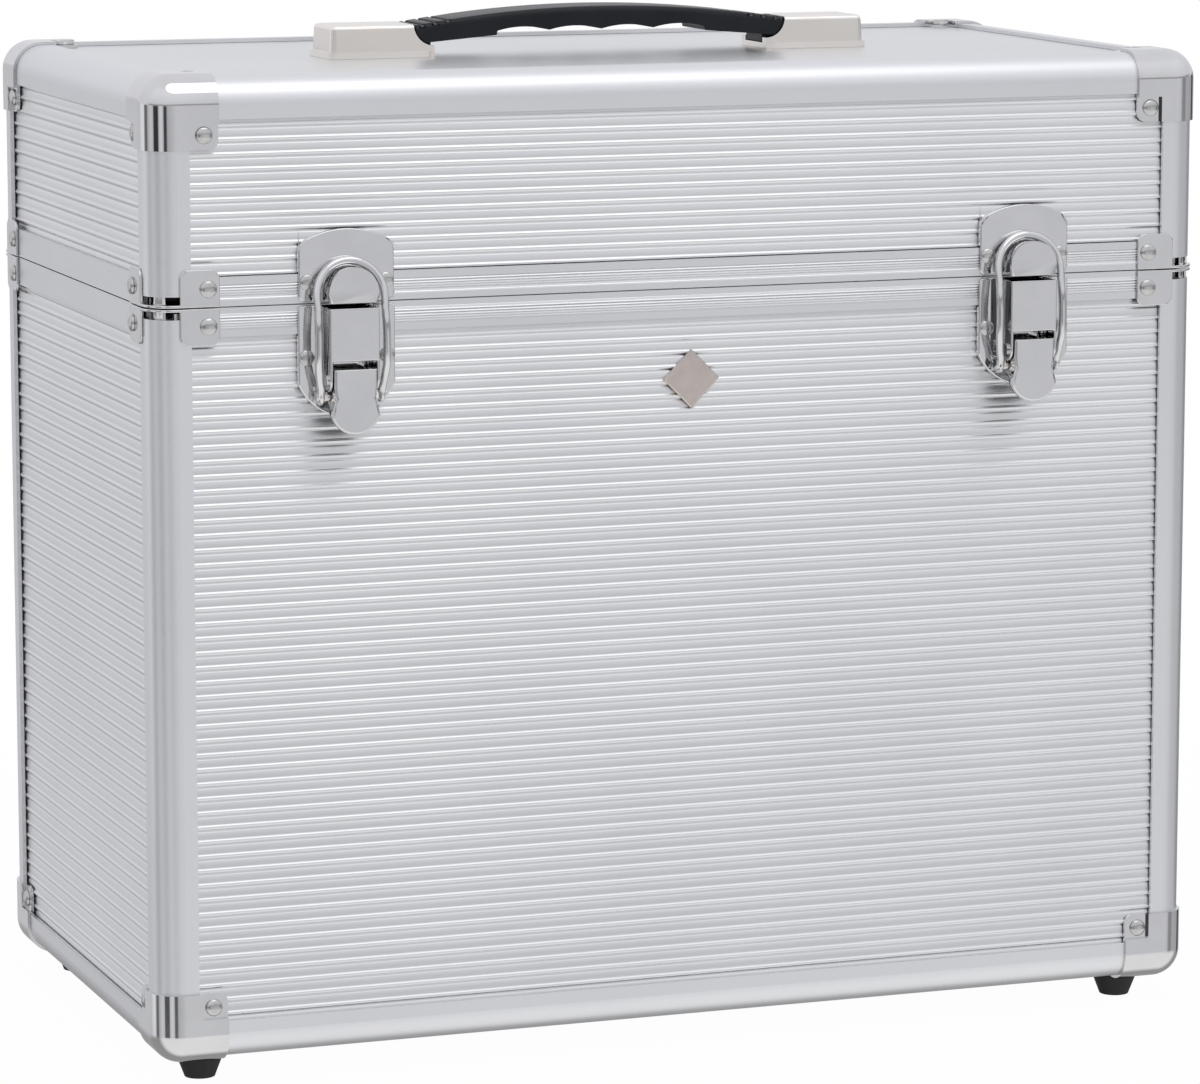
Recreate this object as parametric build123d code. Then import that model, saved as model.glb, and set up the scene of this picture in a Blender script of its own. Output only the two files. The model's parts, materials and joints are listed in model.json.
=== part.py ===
from build123d import *
import os
from math import asin, atan, degrees, sin, sqrt

# Aluminium grooming box: ribbed panels held in corner extrusions, steel ball corners, a lid hinged at
# the back, two toggle latches, a carrying handle and a lift-out tray.
# Millimetres, +Z up, front towards -Y. The origin is under the middle of the whole object, on the floor.

os.makedirs("parts", exist_ok=True)

# Case, measured over the extrusions
WIDTH = 400.0
DEPTH = 212.0
HEIGHT = 348.0
LID_HEIGHT = 79.5
PARTING_GAP = 0.4

# Clearance between fixed pieces that seat on each other, and between pieces that turn or slide
SEAT_GAP = 0.05
TURN_GAP = 0.08

# Corner extrusion
LEG = 14.6
CORNER_RADIUS = 10.0
WALL = 1.4
INNER_WALL = 1.2
WEB_WALL = 1.2
WEB_REACH = 8.6

# Panels: a ribbed aluminium skin bonded to board
PANEL_THICKNESS = 4.6
PANEL_PLAY = 0.2
PANEL_END_GAP = 0.4
RIB_PITCH = 5.22
RIB_HEIGHT = 0.6
RIB_BASE = 2.6
RIB_CREST = 1.2
BODY_RIB_OFFSET = 17.0
LID_RIB_OFFSET = 12.6

# Rims on both sides of the parting line
RIM_HEIGHT = 10.5
RIM_GROOVES = 5
GROOVE_PITCH = 0.95
GROOVE_WIDTH = 0.45
GROOVE_DEPTH = 0.35
GROOVE_START = 3.9
TONGUE_WIDTH = 1.0
TONGUE_TAPER = 0.2
TONGUE_HEIGHT = 2.4
TONGUE_PLAY = 0.4

# Ball corners
BALL_WALL = 1.1
BALL_ARM = 25.0
BALL_TAB_RADIUS = 3.5

# Corner brackets at the parting line
BRACKET_WALL = 1.0
EAR_START = 10.3
EAR_END = 24.6
EAR_DROP = 13.3
EAR_RADIUS = 3.2
EAR_RIVET_DROP = 6.5
SPIGOT_LENGTH = 8.0
POST_END_GAP = 4.0

# Rivets
RIVET_HEAD = 6.2
RIVET_RISE = 1.6
RIVET_SHANK = 3.2
RIVET_PLAY = 0.1
RIVET_CROWN = 3.0
SMALL_HEAD = 5.6
SMALL_RISE = 1.2

# Feet
FOOT_HEIGHT = 9.5
FOOT_TOP = 16.5
FOOT_BOTTOM = 11.0
FOOT_BORE = 7.2
FOOT_BORE_DEPTH = 4.5
FOOT_SCREW_HEAD = 6.2
FOOT_SCREW_HEAD_HEIGHT = 2.2

# Latches
LATCH_INSET = 70.5
PLATE_WALL = 1.0
KEEPER_WIDTH = 34.8
KEEPER_TOP = 26.0
KEEPER_SHOULDER = 21.0
KEEPER_FOOT = 0.7
PLATE_CORNER = 2.0
KEEPER_RIVET_X = 14.4
KEEPER_RIVET_RISE = 7.5
BOSS_WIDTH = 18.1
BOSS_TOP = 13.2
BOSS_HEIGHT = 4.0
BOSS_BEVEL = 1.2
BASE_WIDTH = 35.4
BASE_TOP = 0.7
BASE_ARC_RADIUS = 19.2
BASE_BOTTOM = 40.2
BASE_RIVET_X = 14.7
BASE_RIVET_DROP = 18.9
BRIDGE_WIDTH = 18.1
BRIDGE_DEPTH = 10.5
BRIDGE_TOP = 1.1
BRIDGE_BOTTOM = 19.7
CHEEK_LOBE = 4.0
PIVOT_DROP = 26.3
PIVOT_PIN = 2.8
PIVOT_HEAD = 4.2
PIVOT_HEAD_RISE = 0.6
LEVER_TOP_REACH = 3.9
LEVER_WIDTH = 15.6
LEVER_WAIST = 14.8
LEVER_FLARE = 17.8
LEVER_FLARE_DROP = 12.3
LEVER_LENGTH = 19.1
LEVER_FACE = 11.6
LEVER_LIP = 2.2
BAIL_WIRE = 2.8
BAIL_WIDTH = 27.4
BAIL_TOP = 16.5
BAIL_CLEARANCE = 0.25
BAIL_PIN = 2.2
BAIL_PIN_DROP = 6.0
BAIL_PIN_INSET = 2.0
EYE_RADIUS = 2.9
EYE_WALL = 1.4
EYE_X = 11.1
LEG_BEND_HEIGHT = 7.0
PIN_HEAD = 3.6
PIN_HEAD_RISE = 0.8

# Hinges
HINGE_INSET = 80.0
HINGE_WIDTH = 50.0
HINGE_LEAF_HEIGHT = 10.0
HINGE_LEAF_WALL = 1.2
HINGE_AXIS_OUT = 3.6
HINGE_KNUCKLE = 6.4
HINGE_PIN = 3.0
HINGE_PIN_HEAD = 4.6
HINGE_PIN_HEAD_LENGTH = 1.0
HINGE_KNUCKLES = 5
HINGE_KNUCKLE_GAP = 0.3
HINGE_RIVETS_PER_LEAF = 3
HINGE_RIVET_SPACING = 17.0
HINGE_RIVET_RISE = 6.4

# Carrying handle
HOUSING_INNER = 66.3
HOUSING_OUTER = 105.5
HOUSING_WIDTH = 25.4
HOUSING_RISE = 10.5
HOUSING_FLANGE = 0.8
HOUSING_FLANGE_WALL = 2.3
HOUSING_WALL = 2.0
HOUSING_END_RADIUS = 7.8
HOUSING_CORNER = 3.0
HOUSING_DRAFT = 4.0
GRIP_WIDTH = 24.6
GRIP_PEAK = 16.0
GRIP_END_RISE = 10.2
GRIP_END_FLOOR = 3.8
GRIP_STEP_X = 41.0
GRIP_STEP_FLOOR = 6.1
GRIP_SCALLOP_TOP = 8.9
GRIP_SCALLOPS = 4
GRIP_SCALLOP_DEPTH = 1.4
GRIP_END_GAP = 0.4
GRIP_EDGE = 2.2
GRIP_GROOVES = 3
GRIP_GROOVE_PITCH = 5.0
GRIP_GROOVE_WIDTH = 1.6
GRIP_GROOVE_DEPTH = 1.0
GRIP_LIFT = 3.0
TONGUE_NECK_WIDTH = 16.4
TONGUE_BAR_WIDTH = 19.6
TONGUE_BAR_LENGTH = 6.0
TONGUE_REACH = 96.0
TONGUE_LOW = 1.0
TONGUE_THICKNESS = 5.0
TONGUE_SIDE_PLAY = 0.4

# Badge plate on the front, left bare
BADGE_SIDE = 15.2
BADGE_WALL = 1.2
BADGE_BEVEL = 0.3
BADGE_DROP = 32.6

# Foam lining
LINING_WALL = 2.0
LINING_GAP = 0.2
LINING_TOP_DROP = 2.0

# Lift-out tray and the ledges that carry it
TRAY_HEIGHT = 50.0
TRAY_DROP = 4.0
TRAY_WALL = 2.5
TRAY_PLAY = 1.6
TRAY_SECTIONS = 3
TRAY_CORNER = 6.0
LEDGE_WIDTH = 9.0
LEDGE_HEIGHT = 8.0
LEDGE_WALL = 1.6
LEDGE_LENGTH = 150.0
LEDGE_GAP = 0.3

# Sizes that follow from those above
PARTING = HEIGHT - LID_HEIGHT
LATCH_X = WIDTH / 2 - LATCH_INSET
HINGE_X = WIDTH / 2 - HINGE_INSET
HALF_GAP = PARTING_GAP / 2
PANEL_FACE = WALL + PANEL_PLAY / 2
PANEL_BACK = PANEL_FACE + PANEL_THICKNESS
SLOT_BACK = WALL + PANEL_THICKNESS + PANEL_PLAY
FRAME_BACK = SLOT_BACK + INNER_WALL
PANEL_INSET = WEB_REACH + PANEL_END_GAP
RIM_WEB = HALF_GAP + WALL
TONGUE_DEPTH = (SLOT_BACK + WALL) / 2 + TONGUE_WIDTH / 2
LINING_FACE = FRAME_BACK + LINING_GAP
CAVITY_FACE = LINING_FACE + LINING_WALL
HOLE_RADIUS = RIVET_SHANK / 2 + RIVET_PLAY
BALL_STEP = LEG + SEAT_GAP + BALL_WALL
BALL_TAB_CENTRE = (LEG + BALL_ARM) / 2
BALL_TAB_FACE = PANEL_FACE - SEAT_GAP - BALL_WALL
EAR_RIVET = EAR_END - EAR_RADIUS - 1.0
PIVOT_OUT = BRIDGE_DEPTH - CHEEK_LOBE
BAIL_PIN_OUT = PIVOT_OUT - BAIL_PIN_INSET
BAIL_PIN_LEVEL = -PIVOT_DROP - BAIL_PIN_DROP
BOSS_FACE = PLATE_WALL + BOSS_HEIGHT
BAIL_LEG_X = (BAIL_WIDTH - BAIL_WIRE) / 2
BAIL_CROWN_RISE = BAIL_TOP - BAIL_WIRE / 2 - BAIL_PIN_LEVEL
BAIL_CROWN_OUT = BOSS_FACE + BAIL_CLEARANCE + BAIL_WIRE / 2
BAIL_TILT = degrees(asin((BAIL_CROWN_OUT - BAIL_PIN_OUT) / BAIL_CROWN_RISE))
LATCH_REACH = LEVER_FACE
HINGE_REACH = HINGE_AXIS_OUT + HINGE_KNUCKLE / 2
CASE_SHIFT = (LATCH_REACH - HINGE_REACH) / 2
TRAY_FLOOR = PARTING - TRAY_DROP - TRAY_HEIGHT

# Faces of the case: local X runs along the face, local Y runs up it and local Z points out of it
FACES = {
    "front": Plane(origin=(0, -DEPTH / 2, 0), x_dir=(1, 0, 0), z_dir=(0, -1, 0)),
    "back": Plane(origin=(0, DEPTH / 2, 0), x_dir=(-1, 0, 0), z_dir=(0, 1, 0)),
    "left": Plane(origin=(-WIDTH / 2, 0, 0), x_dir=(0, -1, 0), z_dir=(-1, 0, 0)),
    "right": Plane(origin=(WIDTH / 2, 0, 0), x_dir=(0, 1, 0), z_dir=(1, 0, 0)),
    "bottom": Plane(origin=(0, 0, 0), x_dir=(1, 0, 0), z_dir=(0, 0, -1)),
    "top": Plane(origin=(0, 0, HEIGHT), x_dir=(1, 0, 0), z_dir=(0, 0, 1)),
}
FACE_LENGTH = {"front": WIDTH, "back": WIDTH, "left": DEPTH, "right": DEPTH}
CORNERS = {"front_left": (-1, -1), "front_right": (1, -1), "back_left": (-1, 1), "back_right": (1, 1)}


def block(x_range, y_range, z_range):
    """Box between three pairs of coordinates."""
    sizes = [high - low for low, high in (x_range, y_range, z_range)]
    centre = [(low + high) / 2 for low, high in (x_range, y_range, z_range)]
    return Pos(*centre) * Box(*sizes)


def flat(x_range, y_range):
    """Rectangle face between two pairs of coordinates."""
    width = x_range[1] - x_range[0]
    height = y_range[1] - y_range[0]
    return Pos(sum(x_range) / 2, sum(y_range) / 2) * Rectangle(width, height)


def swap_xy(shape):
    """Mirror image that exchanges X and Y."""
    return shape.mirror(Plane(origin=(0, 0, 0), z_dir=(1, -1, 0)))


def corner_square(start, end, radius):
    """Square face from (start, start) to (end, end) with its first corner rounded."""
    face = flat((start, end), (start, end))
    return fillet(min(face.vertices(), key=lambda v: v.X + v.Y), radius)


def to_corner(shape, corner, z=0.0):
    """Move a shape drawn in the front left corner, at the origin, to one of the four corners."""
    side_x, side_y = CORNERS[corner]
    if side_x > 0:
        shape = shape.mirror(Plane.YZ)
    if side_y > 0:
        shape = shape.mirror(Plane.XZ)
    return Pos(side_x * WIDTH / 2, side_y * DEPTH / 2, z) * shape


def upside_down(shape, level):
    """Mirror image about a level."""
    return shape.mirror(Plane.XY.offset(level))


# Rivets. Each is (face, position along the face, height, level of the head's seat, small head or not)


def rivets_of(half):
    """Every rivet of the body or the lid."""
    away = -1 if half == "body" else 1
    rivets = []
    for face, length in FACE_LENGTH.items():
        for side in (-1, 1):
            tab = side * (length / 2 - BALL_TAB_CENTRE)
            height = BALL_TAB_CENTRE if half == "body" else HEIGHT - BALL_TAB_CENTRE
            rivets.append((face, tab, height, -BALL_TAB_FACE, False))
            ear = side * (length / 2 - EAR_RIVET)
            rivets.append((face, ear, PARTING + away * EAR_RIVET_DROP, BRACKET_WALL, False))
    if half == "lid":
        for side_x, side_y in CORNERS.values():
            x = side_x * (WIDTH / 2 - BALL_TAB_CENTRE)
            rivets.append(("top", x, side_y * (DEPTH / 2 - BALL_TAB_CENTRE), -BALL_TAB_FACE, False))
    for latch in (-LATCH_X, LATCH_X):
        for side in (-1, 1):
            if half == "body":
                rivets.append(("front", latch + side * BASE_RIVET_X, PARTING - BASE_RIVET_DROP, PLATE_WALL, True))
            else:
                rivets.append(("front", latch + side * KEEPER_RIVET_X, PARTING + KEEPER_RIVET_RISE, PLATE_WALL, True))
    for hinge in (-HINGE_X, HINGE_X):
        for index in range(HINGE_RIVETS_PER_LEAF):
            x = hinge + (index - (HINGE_RIVETS_PER_LEAF - 1) / 2) * HINGE_RIVET_SPACING
            rivets.append(("back", x, PARTING + away * HINGE_RIVET_RISE, HINGE_LEAF_WALL, True))
    return rivets


def rivet(seat, small):
    """Rivet on a face, its bevelled head seated at one level and its shank ending behind the frame."""
    head = SMALL_HEAD if small else RIVET_HEAD
    rise = SMALL_RISE if small else RIVET_RISE
    low = seat + SEAT_GAP
    outline = Polyline(
        (0, -FRAME_BACK),
        (RIVET_SHANK / 2, -FRAME_BACK),
        (RIVET_SHANK / 2, low),
        (head / 2, low),
        (RIVET_CROWN / 2, low + rise),
        (0, low + rise),
        close=True,
    )
    return revolve(Plane.XZ * make_face(outline), Axis.Z)


def rivet_group(half):
    """All rivets of one half."""
    group = []
    for face, along, up, seat, small in rivets_of(half):
        group.append(FACES[face] * Pos(along, up) * rivet(seat, small))
    return group


def drill(shape, half, face=None):
    """Cut the rivet holes of one half, all or those on one face, out of a shape."""
    box = shape.bounding_box()
    for name, along, up, seat, _ in rivets_of(half):
        if face not in (None, name):
            continue
        hole = FACES[name] * Pos(along, up) * Cylinder(HOLE_RADIUS, 4 * FRAME_BACK)
        near = hole.bounding_box()
        apart = (
            near.min.X > box.max.X or near.max.X < box.min.X
            or near.min.Y > box.max.Y or near.max.Y < box.min.Y
            or near.min.Z > box.max.Z or near.max.Z < box.min.Z
        )
        if not apart:
            shape = shape - hole
    return shape


# Frame


def corner_section():
    """Section of the corner extrusion: rounded skin, inner angle and the two webs that end the slots."""
    skin = corner_square(0, LEG, CORNER_RADIUS) - corner_square(WALL, 2 * LEG, CORNER_RADIUS - WALL)
    angle = flat((SLOT_BACK, LEG), (SLOT_BACK, LEG)) - flat((FRAME_BACK, 2 * LEG), (FRAME_BACK, 2 * LEG))
    web = flat((WEB_REACH - WEB_WALL, WEB_REACH), (WALL / 2, SLOT_BACK + INNER_WALL / 2))
    return skin + angle + web + swap_xy(web)


def post(low, high):
    """Upright corner extrusion between two heights, in the front left corner."""
    return Pos(0, 0, low) * extrude(corner_section(), high - low)


def along_face(face, section, level):
    """Run a section, drawn as depth and height, along a face between the two corners."""
    plane = FACES[face]
    length = FACE_LENGTH[face] - 2 * LEG
    start = Plane(
        origin=plane.origin + plane.x_dir * (-length / 2) + Vector(0, 0, level),
        x_dir=-plane.z_dir,
        z_dir=plane.x_dir,
    )
    return extrude(start * section, length)


def edges():
    """The four extrusions round the bottom."""
    return [along_face(face, corner_section(), 0) for face in FACE_LENGTH]


def body_rim_section(grooved):
    """Body rim: outer skin, top wall, inner flange and the tongue that enters the lid."""
    skin = flat((0, WALL), (-RIM_HEIGHT, -HALF_GAP))
    if grooved:
        for index in range(RIM_GROOVES):
            level = -GROOVE_START - index * GROOVE_PITCH
            skin -= flat((-GROOVE_DEPTH, GROOVE_DEPTH), (level - GROOVE_WIDTH / 2, level + GROOVE_WIDTH / 2))
    top = flat((0, FRAME_BACK), (-RIM_WEB, -HALF_GAP))
    flange = flat((SLOT_BACK, FRAME_BACK), (-RIM_HEIGHT, -HALF_GAP))
    tongue = make_face(
        Polyline(
            (TONGUE_DEPTH - TONGUE_WIDTH, -RIM_WEB),
            (TONGUE_DEPTH - TONGUE_WIDTH + TONGUE_TAPER, TONGUE_HEIGHT),
            (TONGUE_DEPTH - TONGUE_TAPER, TONGUE_HEIGHT),
            (TONGUE_DEPTH, -RIM_WEB),
            close=True,
        )
    )
    return skin + top + flange + tongue


def lid_rim_section(grooved):
    """Lid rim: outer skin, bottom wall and the channel that the tongue enters."""
    skin = flat((0, WALL), (HALF_GAP, RIM_HEIGHT))
    if grooved:
        for index in range(RIM_GROOVES):
            level = GROOVE_START + index * GROOVE_PITCH
            skin -= flat((-GROOVE_DEPTH, GROOVE_DEPTH), (level - GROOVE_WIDTH / 2, level + GROOVE_WIDTH / 2))
    channel_start = TONGUE_DEPTH - TONGUE_WIDTH - TONGUE_PLAY
    channel_top = TONGUE_HEIGHT + TONGUE_PLAY
    bottom = flat((0, channel_start), (HALF_GAP, RIM_WEB))
    riser = flat((channel_start - INNER_WALL, channel_start), (HALF_GAP, channel_top + INNER_WALL))
    roof = flat((channel_start - INNER_WALL, FRAME_BACK), (channel_top, channel_top + INNER_WALL))
    flange = flat((SLOT_BACK, FRAME_BACK), (HALF_GAP, RIM_HEIGHT))
    return skin + bottom + riser + roof + flange


def rims(section, half):
    """Four rim extrusions, grooved on the front and the back, drilled for the rivets."""
    pieces = []
    for face in FACE_LENGTH:
        rim = along_face(face, section(face in ("front", "back")), PARTING)
        pieces.append(drill(rim, half, face))
    return pieces


# Panels


def ribbed_panel(face, low, high, rib_level, half):
    """Panel whose outer skin has horizontal ribs, held between two heights."""
    skin = -PANEL_FACE - RIB_HEIGHT
    first = rib_level - RIB_PITCH * int((rib_level - low - RIB_BASE) / RIB_PITCH)
    count = int((high - first - RIB_BASE / 2) / RIB_PITCH) + 1
    outline = [(high, -PANEL_BACK), (low, -PANEL_BACK), (low, skin)]
    for index in range(count):
        level = first + index * RIB_PITCH
        outline.append((level - RIB_BASE / 2, skin))
        outline.append((level - RIB_CREST / 2, -PANEL_FACE))
        outline.append((level + RIB_CREST / 2, -PANEL_FACE))
        outline.append((level + RIB_BASE / 2, skin))
    outline.append((high, skin))
    length = FACE_LENGTH[face] - 2 * PANEL_INSET
    section = Plane.YZ.offset(-length / 2) * make_face(Polyline(*outline, close=True))
    return drill(FACES[face] * extrude(section, length), half, face)


def smooth_panel(face, half):
    """Smooth panel of the top or the bottom."""
    sheet = Box(
        WIDTH - 2 * PANEL_INSET,
        DEPTH - 2 * PANEL_INSET,
        PANEL_THICKNESS,
        align=(Align.CENTER, Align.CENTER, Align.MAX),
    )
    sheet = FACES[face] * Pos(0, 0, -PANEL_FACE) * sheet
    if face == "bottom":
        for corner in CORNERS:
            sheet -= to_corner(foot_hole(), corner)
    return drill(sheet, half, face)


def lining(low, high):
    """Open foam tub between two heights, with its floor at the first."""
    width = WIDTH - 2 * LINING_FACE
    depth = DEPTH - 2 * LINING_FACE
    floor = low + LINING_WALL
    outer = block((-width / 2, width / 2), (-depth / 2, depth / 2), (low, high))
    return outer - block(
        (-WIDTH / 2 + CAVITY_FACE, WIDTH / 2 - CAVITY_FACE),
        (-DEPTH / 2 + CAVITY_FACE, DEPTH / 2 - CAVITY_FACE),
        (floor, high),
    )


# Steel corners


def rounded_corner(low, size, radius):
    """Block from (low, low, low) whose first three edges are rounded into a ball."""
    solid = block((low, low + size), (low, low + size), (low, low + size))
    near = [e for e in solid.edges() if sum(abs(c - low) < 1e-6 for c in e.center()) == 2]
    return fillet(near, radius)


def ball_corner():
    """Pressed steel corner in the front left bottom corner: ball, three arms and three riveted tabs."""
    outer = rounded_corner(-BALL_WALL, 2 * BALL_ARM, CORNER_RADIUS + BALL_WALL)
    inner = rounded_corner(-SEAT_GAP, 2 * BALL_ARM, CORNER_RADIUS + SEAT_GAP)
    wide = (-BALL_WALL, BALL_STEP)
    long = (-BALL_WALL, BALL_ARM)
    arms = block(long, wide, wide) + block(wide, long, wide) + block(wide, wide, long)
    tab_low = BALL_TAB_FACE + BALL_WALL
    step_start = LEG + SEAT_GAP
    step = block((step_start, BALL_ARM), (step_start, BALL_ARM), (-BALL_WALL, tab_low))
    step -= block((BALL_STEP, 2 * BALL_ARM), (BALL_STEP, 2 * BALL_ARM), (-2 * BALL_WALL, tab_low))
    plate = flat((step_start, BALL_ARM), (step_start, BALL_ARM))
    plate = fillet(max(plate.vertices(), key=lambda v: v.X + v.Y), BALL_TAB_RADIUS)
    tab = step + Pos(0, 0, BALL_TAB_FACE) * extrude(plate, BALL_WALL)
    corner = (outer - inner) & arms
    diagonal = Axis((0, 0, 0), (1, 1, 1))
    for turn in (0, 120, 240):
        corner += tab.rotate(diagonal, turn)
    return corner


def bottom_ball_corner():
    """Ball corner of the body, with a hole for the foot's screw."""
    return ball_corner() - foot_hole()


def rim_bracket():
    """Bracket under the parting line in the front left corner: cap, spigot and two riveted ears."""
    cap_square = corner_square(-BRACKET_WALL, LEG - PANEL_END_GAP, CORNER_RADIUS + BRACKET_WALL)
    cap_square -= flat((FRAME_BACK, LEG), (FRAME_BACK, LEG))
    cap = Pos(0, 0, -HALF_GAP - BRACKET_WALL) * extrude(cap_square, BRACKET_WALL)
    spigot_square = corner_square(WALL + LINING_GAP, 2 * LEG, CORNER_RADIUS - WALL - LINING_GAP)
    spigot_square &= flat((0, SLOT_BACK - LINING_GAP), (0, SLOT_BACK - LINING_GAP))
    spigot = Pos(0, 0, -HALF_GAP - SPIGOT_LENGTH) * extrude(spigot_square, SPIGOT_LENGTH)
    ear_face = flat((EAR_START, EAR_END), (-EAR_DROP, -HALF_GAP))
    ear_face = fillet(ear_face.vertices().sort_by(Axis.Y)[:2], EAR_RADIUS)
    ear = Plane(origin=(0, -SEAT_GAP, 0), x_dir=(1, 0, 0), z_dir=(0, -1, 0)) * ear_face
    ear = extrude(ear, BRACKET_WALL - SEAT_GAP)
    return cap + spigot + ear + swap_xy(ear)


# Feet


def foot_hole():
    """Clearance for one foot screw in the front left corner."""
    return Pos(BALL_TAB_CENTRE, BALL_TAB_CENTRE) * Cylinder(HOLE_RADIUS, 4 * FRAME_BACK)


def foot():
    """Rubber foot in the front left corner: its neck sits in the corner's tab, its flange on the arms."""
    neck = BALL_TAB_CENTRE - BALL_STEP - SEAT_GAP
    ledge = BALL_WALL + SEAT_GAP
    outline = Polyline(
        (HOLE_RADIUS, BALL_TAB_FACE - SEAT_GAP),
        (neck, BALL_TAB_FACE - SEAT_GAP),
        (neck, -ledge),
        (FOOT_TOP / 2, -ledge),
        (FOOT_TOP / 2, -ledge - 1.2),
        (FOOT_BOTTOM / 2, -FOOT_HEIGHT),
        (FOOT_BORE / 2, -FOOT_HEIGHT),
        (FOOT_BORE / 2, -FOOT_HEIGHT + FOOT_BORE_DEPTH),
        (HOLE_RADIUS, -FOOT_HEIGHT + FOOT_BORE_DEPTH),
        close=True,
    )
    return Pos(BALL_TAB_CENTRE, BALL_TAB_CENTRE) * revolve(Plane.XZ * make_face(outline), Axis.Z)


def foot_screw():
    """Screw that holds a foot, its head up inside the foot."""
    seat = -FOOT_HEIGHT + FOOT_BORE_DEPTH - SEAT_GAP
    align = (Align.CENTER, Align.CENTER, Align.MAX)
    head = Pos(0, 0, seat) * Cylinder(FOOT_SCREW_HEAD / 2, FOOT_SCREW_HEAD_HEIGHT, align=align)
    shank = Pos(0, 0, FRAME_BACK) * Cylinder(RIVET_SHANK / 2, FRAME_BACK - seat, align=align)
    return Pos(BALL_TAB_CENTRE, BALL_TAB_CENTRE) * (head + shank)


# Latches. A latch is drawn about its own middle: local X across, Y up from the parting line, Z out


def latch_place(x):
    """Where a latch sits on the front."""
    return FACES["front"] * Pos(x, PARTING)


def stamped_plate(outline, backed_from, backed_to):
    """Plate with an edge turned back to the panel, except where it lies on the rim."""
    plate = extrude(outline, PLATE_WALL)
    skirt = extrude(outline - offset(outline, -PLATE_WALL), PANEL_FACE - SEAT_GAP)
    skirt = Pos(0, 0, -PANEL_FACE + SEAT_GAP) * skirt
    reach = 2 * BASE_BOTTOM
    on_rim = block((-reach, reach), (backed_from, backed_to), (-reach, 0))
    return plate + (skirt - on_rim)


def half_round(radius, low, top):
    """Face with straight sides and a half-round top."""
    centre = top - radius
    outline = Polyline((-radius, centre), (-radius, low), (radius, low), (radius, centre))
    outline += ThreePointArc((radius, centre), (0, top), (-radius, centre))
    return make_face(outline)


def keeper():
    """Catch plate on the lid with its raised half-round boss."""
    half = KEEPER_WIDTH / 2
    sag = KEEPER_TOP - KEEPER_SHOULDER
    arch = (half**2 + sag**2) / (2 * sag)
    outline = flat((-half, half), (KEEPER_FOOT, KEEPER_TOP)) & Pos(0, KEEPER_TOP - arch) * Circle(arch)
    corners = outline.vertices().sort_by(Axis.Y)
    outline = fillet(corners[2:], KEEPER_SHOULDER / 4)
    outline = fillet(outline.vertices().sort_by(Axis.Y)[:2], PLATE_CORNER)
    plate = stamped_plate(outline, 0, RIM_HEIGHT + PANEL_END_GAP)
    radius = BOSS_WIDTH / 2
    boss = Pos(0, 0, PLATE_WALL) * extrude(half_round(radius, KEEPER_FOOT, BOSS_TOP), BOSS_HEIGHT)
    bevelled = [
        e for e in boss.edges()
        if abs(e.center().Z - BOSS_FACE) < 1e-6 and e.center().Y > KEEPER_FOOT + 1e-6
    ]
    boss = chamfer(bevelled, BOSS_BEVEL)
    hollow = half_round(radius - PLATE_WALL, KEEPER_FOOT + PLATE_WALL, BOSS_TOP - PLATE_WALL)
    return plate + boss - extrude(hollow, BOSS_FACE - PLATE_WALL - BOSS_BEVEL / 2)


def base_outline():
    """Outline of the latch base: straight sides that turn into a round bottom."""
    half = BASE_WIDTH / 2
    centre = -BASE_BOTTOM + BASE_ARC_RADIUS
    shoulder = centre - sqrt(BASE_ARC_RADIUS**2 - half**2)
    upper = flat((-half, half), (shoulder, -BASE_TOP))
    lower = Pos(0, centre) * Circle(BASE_ARC_RADIUS) & flat((-half, half), (-2 * BASE_BOTTOM, centre))
    outline = upper + lower
    return fillet(outline.vertices().sort_by(Axis.Y)[-2:], PLATE_CORNER)


def latch_base():
    """Base plate with the raised bridge and the two cheeks that carry the lever."""
    plate = stamped_plate(base_outline(), -RIM_HEIGHT - PANEL_END_GAP, 0)
    half = BRIDGE_WIDTH / 2
    cheek = Polyline(
        (-BRIDGE_TOP, 0),
        (-BRIDGE_TOP, BRIDGE_DEPTH),
        (-PIVOT_DROP, BRIDGE_DEPTH),
        (-PIVOT_DROP - CHEEK_LOBE, PIVOT_OUT),
        (-PIVOT_DROP - CHEEK_LOBE, 0),
        close=True,
    )
    lobe = Pos(-PIVOT_DROP, PIVOT_OUT) * Circle(CHEEK_LOBE)
    profile = Plane.YZ.offset(-half) * (make_face(cheek) + lobe)
    channel = extrude(profile, BRIDGE_WIDTH)
    inside = half - PLATE_WALL
    channel -= block((-inside, inside), (-BASE_BOTTOM, 0), (PLATE_WALL, BRIDGE_DEPTH - PLATE_WALL))
    channel -= block((-inside, inside), (-BASE_BOTTOM, -BRIDGE_BOTTOM), (PLATE_WALL, 2 * BRIDGE_DEPTH))
    bore = Pos(0, -PIVOT_DROP, PIVOT_OUT) * Rot(0, 90, 0) * Cylinder(PIVOT_PIN / 2 + TURN_GAP, 2 * BRIDGE_WIDTH)
    return plate + channel - bore


def cross_pin(diameter, length, head, head_rise):
    """Pin along X with a head at each end; length is between the heads."""
    rod = Rot(0, 90, 0) * Cylinder(diameter / 2, length + 2 * head_rise)
    for side in (-1, 1):
        rod += Pos(side * (length + head_rise) / 2) * Rot(0, 90, 0) * Cylinder(head / 2, head_rise)
    return rod


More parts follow.
